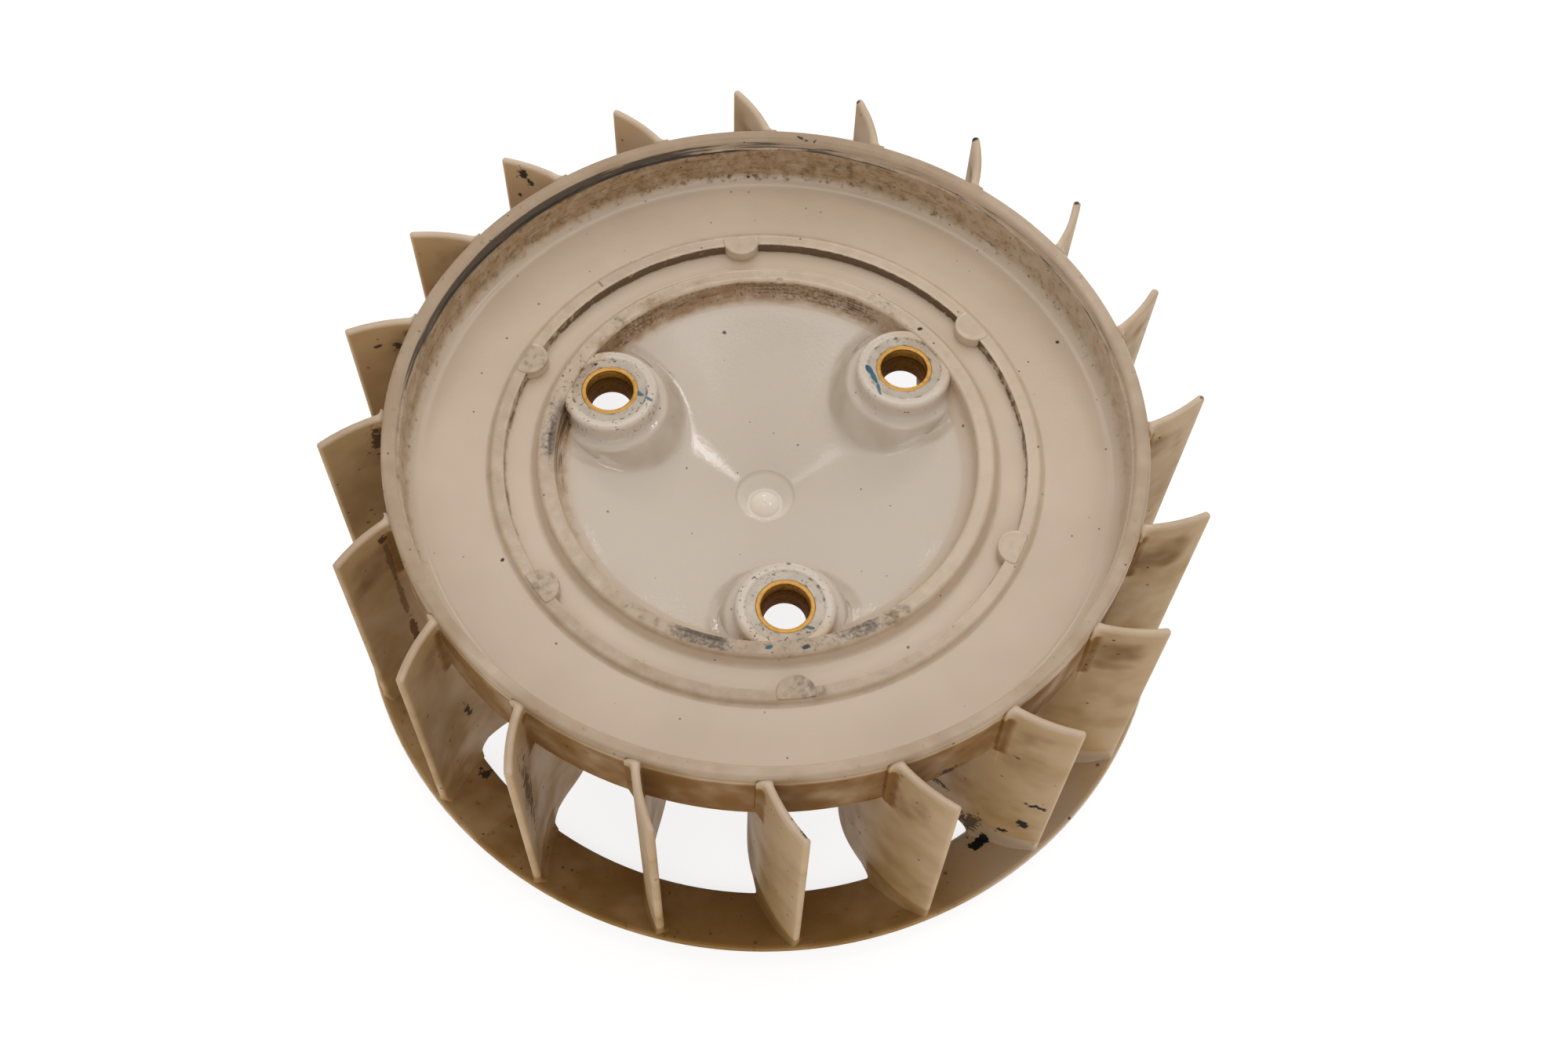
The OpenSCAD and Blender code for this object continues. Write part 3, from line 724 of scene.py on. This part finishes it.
# Single marks: azimuth, radius, depth; half sizes along, across and up; turn
# of the long side in degrees; raggedness; colour; opacity.
TEAL, BLUE, BLACK, BROWN = "#175d72", "#22384a", "#0b0602", "#3c2005"
MARKS = [
    (45.2, 22.5, 8.9, 1, 0.55, 1, -62, 0.25, "#12506a", 0.95),
    (41.2, 22.05, 8.9, 1.75, 0.42, 1.2, -66, 0.3, TEAL, 0.95),
    (35.6, 21.3, 8.9, 1.3, 0.3, 1.2, -76, 0.4, TEAL, 0.85),
    (154, 22.4, 8.9, 0.9, 0.42, 1, -30, 0.5, TEAL, 0.9),
    (154.8, 20.8, 9.1, 0.8, 0.3, 1.2, -35, 0.5, TEAL, 0.8),
    (282.8, 30.8, 8.9, 1.2, 0.32, 1, -12, 0.5, TEAL, 0.85),
    (272.2, 33.7, 8.4, 0.55, 0.4, 0.8, 20, 0.5, "#1c5f70", 0.9),
    (280.9, 20.1, 9.2, 0.4, 0.3, 0.9, 0, 0.5, "#1c5f70", 0.8),
    (281.3, 34.2, 8.4, 0.7, 0.4, 0.8, 15, 0.6, BLUE, 0.9),
    (151.3, 31.4, 8.9, 0.34, 0.24, 0.8, 30, 0.5, BLACK, 0.9),
    (147.3, 29.2, 8.9, 0.4, 0.22, 0.8, 10, 0.5, BLACK, 0.9),
    (26.5, 51.6, 9.3, 0.36, 0.32, 0.8, 0, 0.3, BLACK, 0.9),
    (207.9, 43.7, 9.3, 0.42, 0.3, 0.8, 60, 0.4, BLACK, 0.9),
    (106.5, 26.7, 13.5, 0.3, 0.26, 0.8, 0, 0.4, BLACK, 0.8),
    (45, 33.9, 8.4, 0.42, 0.3, 0.8, 20, 0.4, BLACK, 0.95),
    (95, 55, 8.5, 0.5, 0.5, 0.35, 0, 0.5, BROWN, 0.9),
    (85.6, 55.9, 0.3, 1.1, 0.3, 0.5, -20, 0.8, BLACK, 0.85),
    (83.6, 55.8, 0.3, 0.6, 0.25, 0.5, 40, 0.8, BLACK, 0.8),
    (131.1, 63.6, 2.4, 1.2, 0.8, 1.1, 20, 1.1, BLACK, 0.95),
    (131, 62.4, 3.6, 0.9, 0.6, 1, 60, 1.2, BLACK, 0.9),
    (131.5, 64.3, 7.6, 0.3, 0.5, 0.5, 0, 0.8, BLACK, 0.9),
    (60.3, 66.3, 0.6, 0.7, 0.7, 0.7, 0, 0.4, BLACK, 0.95),
    (42.3, 66.3, 0.4, 0.45, 0.6, 0.6, 0, 0.4, "#2e2013", 0.9),
    (78.4, 66.3, 0.4, 0.4, 0.5, 0.5, 0, 0.4, "#2e2013", 0.8),
    (182.8, 59, 5.2, 1.6, 1, 2.6, 0, 1.3, BROWN, 0.85),
    (201, 59.3, 3.2, 1.2, 0.7, 1.4, 0, 0.5, BROWN, 0.9),
    (201.2, 59, 10, 0.6, 0.7, 7, 0, 0.3, "#52300a", 0.6),
    (201.2, 59, 21.5, 0.6, 0.7, 7.5, 0, 0.3, "#52300a", 0.55),
    (200.8, 59, 33, 0.7, 0.8, 5, 0, 0.4, "#52300a", 0.75),
    (218.1, 56.9, 31.4, 0.7, 0.6, 2.5, 0, 1.3, BLACK, 0.85),
    (221.6, 58.2, 48.2, 1.4, 0.8, 0.8, 40, 1.2, BLACK, 0.85),
    (165.8, 59.6, 6, 1.2, 0.8, 1.4, 0, 1, BROWN, 0.85),
    (275.4, 62.9, 0.9, 3, 0.75, 1.1, -57, 0.8, "#120b06", 1),
    (298.5, 57.5, 11.8, 1.2, 1.2, 1, 0, 1.2, BLACK, 0.85),
    (306.9, 57.3, 44.5, 2.2, 1.2, 3.5, 0, 1.2, "#2b1f12", 0.8),
    (305, 50.3, 39, 1.6, 1.6, 1.2, 0, 1.4, BLACK, 0.7),
    (166.7, 62.8, 5.2, 0.9, 0.35, 0.4, 0, 0.6, BLACK, 0.85),
    (201.5, 58.4, 24, 0.6, 0.8, 8, 0, 0.3, "#52300a", 0.6),
    (238.3, 62.1, 19, 1.6, 1.6, 9, 0, 1.3, BROWN, 0.7),
    # These two black marks on the ring beside the blade tips on the right are partly painted shade
    # over oil
    (308, 60.2, 47.3, 2, 1.1, 1.2, 20, 1, BLACK, 1),
    (305.6, 59.8, 47.3, 1.1, 0.8, 1, -30, 1, BLACK, 1),
    (308.7, 61.6, 41.1, 0.9, 0.9, 0.7, 0, 0.9, BLACK, 1),
    (310.2, 64.2, 36, 0.7, 0.7, 1.2, 0, 1.3, BLACK, 1),
    (310.6, 65, 28, 1.2, 1.2, 0.7, 0, 1.2, BLACK, 1),
    (297, 60, 44, 2.4, 1.8, 3, 0, 1, "#2b1f12", 0.8),
    (308.3, 60.6, 13.3, 0.6, 0.6, 0.4, 0, 0.8, BLACK, 0.7),
]


# In half sizes of a mark: where its gradient ends, and how far it is taken to reach
MARK_REACH, MARK_END = 3.0, 1.8

# Zones of the wheel: radius from, to; depth from, to. Each has a material of
# its own, so that no ray works through dirt and painted shade that lie elsewhere.
HUB_TO, CUP_TO = 36.9, 57.4
ZONES = {
    "hub": (0, HUB_TO, 7, 27.5),
    "cup": (HUB_TO, CUP_TO, -1, 11),
    "outside": (CUP_TO, 68, -1, 51),
    "underside": (0, CUP_TO, 10, 51),
}


def touches(zone, inner, outer, top, low):
    """Whether dirt and painted shade between two radii and two depths come within 0.5 mm of a zone.
    """
    from_r, to_r, from_depth, to_depth = ZONES[zone]
    in_radius = inner < to_r + 0.5 and outer > from_r - 0.5
    return in_radius and top < to_depth + 0.5 and low > from_depth - 0.5


def mark_touches(zone, mark):
    """Whether a mark reaches into a zone."""
    _, radius, depth, along, across, up = mark[:6]
    wide, high = MARK_END * max(along, across), MARK_END * up
    return touches(zone, radius - wide, radius + wide, depth - high, depth + high)


def zone_of_faces(wheel):
    """Number of the zone of each face, by its centre.

    The hub and the cup are what lies above a line under their top face.
    """
    under_top = 1.3
    centre = np.empty(3 * len(wheel.data.polygons))
    wheel.data.polygons.foreach_get("center", centre)
    x, y, z = centre.reshape(-1, 3).T / MM
    r = np.hypot(x, y)
    line = np.interp(r, [WELL_R, WELL_R + 0.01, LEDGE_R, RISE_FROM, RISE_TO], [
        CONE_Z - 0.5, cone_at(WELL_R), LEDGE_Z, LEDGE_Z, LEDGE_Z + RISE])
    above = z > line - under_top
    names = list(ZONES)
    zone = np.where(above, names.index("hub"), names.index("underside"))
    zone = np.where(above & (r > HUB_TO), names.index("cup"), zone)
    return np.where(r > CUP_TO, names.index("outside"), zone)


def dirt_and_painted_light_cover(tree, places, grains, row):
    """Cover of one row of dirt and painted light, where its ring, its azimuths and its grain meet.
    """
    radius, depth, azimuth = places
    inner, outer, top, low, soft, amounts, grain, hard, _, opacity = row
    strength = around(tree, azimuth, amounts) if isinstance(amounts, dict) else amounts
    ring_area = window(tree, radius, inner, outer, soft)
    amount = product(tree, ring_area, window(tree, depth, top, low, soft), strength)
    return patches(tree, grains[grain], amount, hard, opacity)


def boss_distance(tree, radius, azimuth):
    """Distance in plan from the axis of the nearest boss, by the law of cosines."""
    first = BOSS_ANGLES[0] - VIEW_TURN
    turn = add(tree, "Math", WRAP, {0: azimuth, 1: first + 60, 2: first - 60})
    turn = add(tree, "Math", SUBTRACT, {0: turn, 1: first})
    turn = add(tree, "Math", {"operation": "RADIANS"}, {0: turn})
    along = product(tree, radius, add(tree, "Math", {"operation": "COSINE"}, {0: turn}))
    square = add(tree, "Math", MULTIPLY_ADD, {0: along, 1: -2 * PITCH_R, 2: PITCH_R ** 2})
    square = add(tree, "Math", MULTIPLY_ADD, {0: radius, 1: radius, 2: square})
    return add(tree, "Math", {"operation": "SQRT"}, {0: square})


def mark_cover(tree, place, grain, mark):
    """Cover of one mark: an ellipsoid about its place, with a ragged edge from the grain.

    The ball gradient is 1 - d / MARK_REACH at distance d in half sizes, and
    the cover ends about where d + 2 ragged grain reaches 0.9 + ragged.
    """
    azimuth, radius, depth, along, across, up, turn, ragged, _, opacity = mark
    angle = math.radians(azimuth)
    local = add(tree, "Mapping", {"vector_type": "TEXTURE"}, {
        "Vector": place, "Rotation": (0, 0, math.radians(turn)),
        "Location": (radius * math.cos(angle), radius * math.sin(angle), WHEEL_H - depth),
        "Scale": [size * MARK_REACH for size in (along, across, up)]})
    ball = add(tree, "TexGradient", {"gradient_type": "SPHERICAL"}, {"Vector": local})
    edge = add(tree, "Math", MULTIPLY_ADD, {
        0: ball.outputs["Fac"], 1: -MARK_REACH / (2 * ragged), 2: grain})
    return add(tree, "MapRange", SMOOTH, {
        "Value": edge, "From Min": (0.75 + ragged - MARK_REACH) / (2 * ragged),
        "From Max": (1.05 + ragged - MARK_REACH) / (2 * ragged), "To Min": opacity, "To Max": 0.0})


def paint(tree, under, cover, colour):
    """Lays a colour over another where there is cover."""
    return add(tree, "Mix", COLOURS, {0: cover, 6: under, 7: shown(colour)}).outputs[2]


def clean_nylon(tree, place, radius, depth, mist):
    """Nylon before its dirt: its colour, and the masks of hub, gate and aired faces."""
    # Clouded over centimetres, as the melt cooled unevenly
    cloud = flecks(tree, place, (16, 16, 16), 2.0)
    skin = add(tree, "Mix", COLOURS, {
        0: cloud, 6: shown("#c6b19a"), 7: shown("#ceb9a2")}).outputs[2]
    # The hub, under its cover of clean air, has stayed paler
    hub_area = window(tree, radius, None, 30.5, 1.5)
    skin = paint(tree, skin, hub_area, "#d0c2b2")
    # The gate is painted paler, a painted highlight for the bright reflections on its dome, and has
    # the sheen of its own pin
    gate = window(tree, radius, None, WELL_R - 0.3, 0.35)
    skin = paint(tree, skin, product(tree, gate, 0.75), "#ebe1d3")
    # Yellowing outside the rim, and below the disc and the hub
    hub_top = add(tree, "MapRange", links={
        "Value": radius, "From Min": 5.0, "From Max": LEDGE_R,
        "To Min": WHEEL_H - cone_at(5.0), "To Max": WHEEL_H - LEDGE_Z})
    cup_top = add(tree, "MapRange", links={
        "Value": radius, "From Min": RISE_FROM, "From Max": RISE_TO, "To Min": 0.0, "To Max": RISE})
    below_top = add(tree, "Math", SUBTRACT, {0: depth, 1: hub_top})
    below_top = add(tree, "Math", ADD, {0: below_top, 1: cup_top})
    past_well = window(tree, below_top, 1.0, None, 0.25), window(tree, radius, 5.5, None, 0.5)
    under = product(tree, *past_well)
    under = add(tree, "Math", MAXIMUM, {0: under, 1: window(tree, depth, 26.0, None, 0.4)})
    past_rim = window(tree, radius, 57.35, None, 0.25), window(tree, depth, 0.6, None, 0.5)
    aired = add(tree, "Math", MAXIMUM, {0: product(tree, *past_rim), 1: under})
    skin = paint(tree, skin, product(tree, aired, 0.9), "#c3a06e")
    stain = patches(tree, mist, product(tree, under, 0.9), 1.5, 0.5)
    return paint(tree, skin, stain, "#9c722f"), hub_area, gate, aired


def loose_specks(tree, place, skin, aired, dust):
    """Lays loose specks of 0.2 to 0.5 mm on the skin, few in the cup and more outside."""
    for spacing, size, colour in ((3.4, 0.17, "#2f2418"), (5.5, 0.25, "#6e5132")):
        cells = add(tree, "Mapping", links={"Vector": place, "Scale": [1 / spacing] * 3})
        seeds = add(tree, "TexVoronoi", links={"Vector": cells, "Scale": 1.0})
        reach = add(tree, "MapRange", links={
            "Value": aired, "To Min": size / spacing, "To Max": 1.5 * size / spacing})
        gap = add(tree, "Math", {"operation": "DIVIDE"}, {0: seeds.outputs["Distance"], 1: reach})
        gap = add(tree, "Math", MULTIPLY_ADD, {0: dust, 1: 0.8, 2: gap})
        cover = add(tree, "MapRange", links={
            "Value": gap, "From Min": 1.0, "From Max": 1.5, "To Min": 0.85, "To Max": 0.0})
        skin = paint(tree, skin, cover, colour)
    return skin


def natural_nylon(zone):
    """Natural PA6, injection moulded, not painted, after years beside an engine.

    The eye gets a warm bone colour that light sinks into a little, so edges
    glow, with the soft gloss of a tool that was stoned, not polished. Heat
    has yellowed it, more outside, and dirt dulls it wherever it holds. Some
    rows of the dirt are partly painted shade or painted highlight, and the gate
    is a painted highlight. The zones differ only in the dirt and painted shade
    that reach them.
    """
    material, tree, shader = new_material("nylon_moulded_" + zone)
    place, radius, depth, azimuth, unrolled = wheel_places(tree)
    grains = {}
    for name, (turned_with, sizes, detail) in GRAINS.items():
        grains[name] = flecks(tree, unrolled if turned_with else place, sizes, detail)
    skin, hub_area, gate, aired = clean_nylon(tree, place, radius, depth, grains["mist"])

    places = radius, depth, azimuth
    for row in DIRT_AND_PAINTED_LIGHT:
        if touches(zone, *row[:4]):
            skin = paint(tree, skin, dirt_and_painted_light_cover(tree, places, grains, row), row[8])
    about_boss = boss_distance(tree, radius, azimuth), depth, azimuth
    for row in BOSS_DIRT_AND_SHADE:
        if touches(zone, PITCH_R - row[1], PITCH_R + row[1], *row[2:4]):
            skin = paint(tree, skin, dirt_and_painted_light_cover(tree, about_boss, grains, row), row[8])
    skin = loose_specks(tree, place, skin, aired, grains["dust"])
    for mark in MARKS:
        if mark_touches(zone, mark):
            skin = paint(tree, skin, mark_cover(tree, place, grains["dust"], mark), mark[8])

    # Dirt is dark, and dull with it; painted shade, being dark, is made dull too
    lightness = add(tree, "RGBToBW", links={0: skin})
    gloss = add(tree, "MapRange", links={
        "Value": lightness, "From Min": 0.12, "From Max": 0.44, "To Min": 0.72, "To Max": 0.2})
    gloss = add(tree, "Math", MULTIPLY_ADD, {0: hub_area, 1: -0.12, 2: gloss})
    gloss = add(tree, "Math", MULTIPLY_ADD, {0: gate, 1: -0.07, 2: gloss})
    gloss = add(tree, "Math", MULTIPLY_ADD, {0: aired, 1: 0.2, 2: gloss})
    # Relief: the stoned tool, and faint sink waves
    stipple = flecks(tree, place, (0.5, 0.5, 0.5), 2.0)
    waves = flecks(tree, place, (9, 9, 9), 1.0)
    relief = add(tree, "Math", MULTIPLY_ADD, {0: waves, 1: 4.0, 2: stipple})
    bump = add(tree, "Bump", links={"Height": relief, "Strength": 0.4, "Distance": 0.00002})
    tree.links.new(skin, shader.inputs["Base Color"])
    tree.links.new(gloss.outputs[0], shader.inputs["Roughness"])
    tree.links.new(bump.outputs[0], shader.inputs["Normal"])
    shader.inputs["IOR"].default_value = 1.53
    shader.inputs["Specular IOR Level"].default_value = 0.36
    shader.inputs["Subsurface Weight"].default_value = 0.35
    shader.inputs["Subsurface Radius"].default_value = (1.0, 0.7, 0.4)
    shader.inputs["Subsurface Scale"].default_value = 1.5 * MM
    return material


def turned_brass():
    """Free-cutting brass, turned on a lathe and tarnished in the bore.

    The eye gets a warm gold with a bright, scratched top face, fine rings
    from the tool, and a browner bore with dirt in its step.
    """
    material, tree, shader = new_material("brass_turned")
    place = photo_place(tree)
    depth = add(tree, "Math", SUBTRACT, {
        0: WHEEL_H, 1: add(tree, "SeparateXYZ", links={0: place}).outputs[2]})
    mottle = flecks(tree, place, (0.9, 0.9, 0.6), 4.0)
    metal = add(tree, "Mix", COLOURS, {
        0: mottle, 6: shown("#9a6c30"), 7: shown("#bb9150")}).outputs[2]
    bore = window(tree, depth, 9.3, None, 0.3)
    low_bore = window(tree, depth, 10.9, None, 0.3)
    metal = paint(tree, metal, product(tree, bore, 0.62), "#6f4609")
    metal = paint(tree, metal, product(tree, low_bore, 0.5), "#3f2706")
    specks = flecks(tree, place, (0.5, 0.5, 0.5), 4.0, shift=3.0)
    grit = patches(tree, specks, product(tree, bore, 0.4), 0.25, 0.7)
    metal = paint(tree, metal, grit, "#3a2814")
    step = window(tree, depth, 10.8, 11.3, 0.12)
    metal = paint(tree, metal, product(tree, step, 0.6), "#4c3318")
    # Tool rings at 0.12 mm, drawn at 0.3 mm so that they show
    stretched = add(tree, "Mapping", links={"Vector": place, "Scale": (0.05, 0.05, 3.3)})
    rings = add(tree, "TexNoise", links={"Vector": stretched, "Scale": 1.0, "Detail": 2.0})
    rough = add(tree, "MapRange", links={"Value": mottle, "To Min": 0.3, "To Max": 0.46})
    rough = add(tree, "Math", MULTIPLY_ADD, {0: low_bore, 1: 0.2, 2: rough})
    rough = add(tree, "Mix", {"data_type": "FLOAT"}, {0: grit, 2: rough.outputs[0], 3: 0.7})
    relief = add(tree, "Math", MULTIPLY_ADD, {0: mottle, 1: 1.5, 2: rings})
    bump = add(tree, "Bump", links={"Height": relief, "Strength": 0.4, "Distance": 0.000012})
    tree.links.new(metal, shader.inputs["Base Color"])
    tree.links.new(rough.outputs[0], shader.inputs["Roughness"])
    tree.links.new(bump.outputs[0], shader.inputs["Normal"])
    # Grime in the bore hides the metal, and its glancing sheen
    clean = add(tree, "MapRange", links={"Value": bore, "To Min": 1.0, "To Max": 0.45})
    sheen = add(tree, "MapRange", links={"Value": bore, "To Min": 0.5, "To Max": 0.08})
    tree.links.new(clean.outputs[0], shader.inputs["Metallic"])
    tree.links.new(sheen.outputs[0], shader.inputs["Specular IOR Level"])
    shader.inputs["Specular Tint"].default_value = shown("#c98f3a")
    return material


# Studio

# Lamps: azimuth in the photograph and elevation; distance, width and height in metres; level
LAMPS = {
    "overhead": (90, 74, 0.7, 0.42, 0.42, 0.22),
    "back_window": (90, 33, 0.8, 0.3, 0.05, 0.09),
    "back_window_right": (72, 39, 0.8, 0.12, 0.04, 0.03),
    "back_window_left": (108, 39, 0.8, 0.12, 0.04, 0.03),
    "right_window": (58, 51, 0.8, 0.05, 0.05, 0.012),
    "left_window": (122, 51, 0.8, 0.05, 0.05, 0.014),
    "right_lamp": (22, 57, 0.75, 0.08, 0.08, 0.04),
    "left_lamp": (158, 57, 0.75, 0.08, 0.08, 0.01),
    "front_fill": (275, 32, 0.8, 0.5, 0.5, 0.16),
}


def studio_floor():
    """Pale floor: half lit card, half white to the camera, so shadows stay faint."""
    material, tree, shader = new_material("studio_card")
    rays = add(tree, "LightPath").outputs
    seen = add(tree, "Math", MAXIMUM, {0: rays["Is Camera Ray"], 1: rays["Is Glossy Ray"]})
    seen = add(tree, "Math", MAXIMUM, {0: seen, 1: rays["Is Transmission Ray"]})
    card = add(tree, "Mix", COLOURS, {
        0: rays["Is Camera Ray"], 6: shown("#e8e8e8"), 7: shown("#9d9d9d")})
    tree.links.new(card.outputs[2], shader.inputs["Base Color"])
    shader.inputs["Roughness"].default_value = 1.0
    shader.inputs["Specular IOR Level"].default_value = 0.0
    glow = add(tree, "Emission", links={"Strength": product(tree, seen, 0.82)})
    both = add(tree, "AddShader", links={0: shader, 1: glow})
    tree.links.new(both.outputs[0], tree.nodes["Material Output"].inputs["Surface"])
    mesh = bpy.data.meshes.new("floor")
    reach = 3.0
    corners = [(-reach, -reach, 0), (reach, -reach, 0), (reach, reach, 0), (-reach, reach, 0)]
    mesh.from_pydata(corners, [], [(0, 1, 2, 3)])
    mesh.materials.append(material)
    place_object("floor", mesh)


def world_light():
    """Even grey daylight from all round, white where the camera sees it."""
    world = bpy.data.worlds.new("studio")
    bpy.context.scene.world = world
    world.use_nodes = True
    tree = world.node_tree
    rays = add(tree, "LightPath").outputs
    level = add(tree, "MapRange", links={
        "Value": rays["Is Camera Ray"], "To Min": 0.52, "To Max": 1.0})
    sky = tree.nodes["Background"]
    sky.inputs["Color"].default_value = (1, 1, 1, 1)
    tree.links.new(level.outputs[0], sky.inputs["Strength"])


def softbox(name, azimuth, elevation, distance, width, height, level):
    """Soft lamp that faces the middle of the wheel from an azimuth of the photograph.

    Level 1 lights a white card that faces it to white.
    """
    light = bpy.data.lights.new(name, "AREA")
    light.shape, light.size, light.size_y = "RECTANGLE", width, height
    light.energy = level * math.pi ** 2 * distance ** 2
    target = Vector((0, 0, 0.03))
    turn, rise = math.radians(azimuth + VIEW_TURN), math.radians(elevation)
    place = target + distance * Vector((
        math.cos(turn) * math.cos(rise), math.sin(turn) * math.cos(rise), math.sin(rise)))
    matrix = (target - place).to_track_quat("-Z", "Y").to_matrix().to_4x4()
    matrix.translation = place
    place_object(name, light).matrix_world = matrix


def photo_camera():
    """Camera of the photograph, solved from the circles of the wheel.

    It stands 4.6256 rim radii from the centre of the rim's mouth at 56.66
    degrees of height, then pans, tilts and rolls a little off that centre.
    """
    rise, radii_away = math.radians(56.659), 4.6256
    tilt, pan, lean = (math.radians(angle) for angle in (-3.326, -0.644, -2.018))
    focal_pixels, picture_width = 2257.65, 1999
    place = Vector((0, -math.cos(rise), math.sin(rise))) * radii_away * RIM_R * MM
    forward, right = -place.normalized(), Vector((1, 0, 0))
    up = right.cross(forward)
    level = Matrix((right, up, -forward)).transposed()
    aim = Matrix.Rotation(tilt, 3, right) @ Matrix.Rotation(pan, 3, up)
    roll = Matrix.Rotation(lean, 3, aim @ forward)
    turn = Matrix.Rotation(math.radians(VIEW_TURN), 4, "Z")
    lens = bpy.data.cameras.new("photo")
    lens.sensor_fit, lens.sensor_width = "HORIZONTAL", 36.0
    lens.lens = focal_pixels * lens.sensor_width / picture_width
    lens.clip_start = 0.005
    matrix = turn @ (roll @ aim @ level).to_4x4()
    matrix.translation = turn @ place + Vector((0, 0, WHEEL_H * MM))
    camera = place_object("photo", lens)
    camera.matrix_world = matrix
    bpy.context.scene.camera = camera


wheel = moulding()
wheel.data.materials.clear()
for zone in ZONES:
    wheel.data.materials.append(natural_nylon(zone))
wheel.data.polygons.foreach_set("material_index", zone_of_faces(wheel).astype(np.int32))
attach(wheel, "root")
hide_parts("fan_wheel")

brass = turned_brass()
for number, angle in enumerate(BOSS_ANGLES, 1):
    shell = turned(bush(), BOSS_SIDES, centre=(PITCH_R, 0), closed=True)
    sleeve = write_mesh(f"sleeve_{number}", copies(shell, [angle]))
    shade(sleeve, 30)
    sleeve.data.materials.append(brass)
    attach(sleeve, "root")
    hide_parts(f"bush_{number}")

photo_camera()
studio_floor()
world_light()
for name, lamp in LAMPS.items():
    softbox(name, *lamp)

bpy.context.scene.view_settings.view_transform = "Standard"
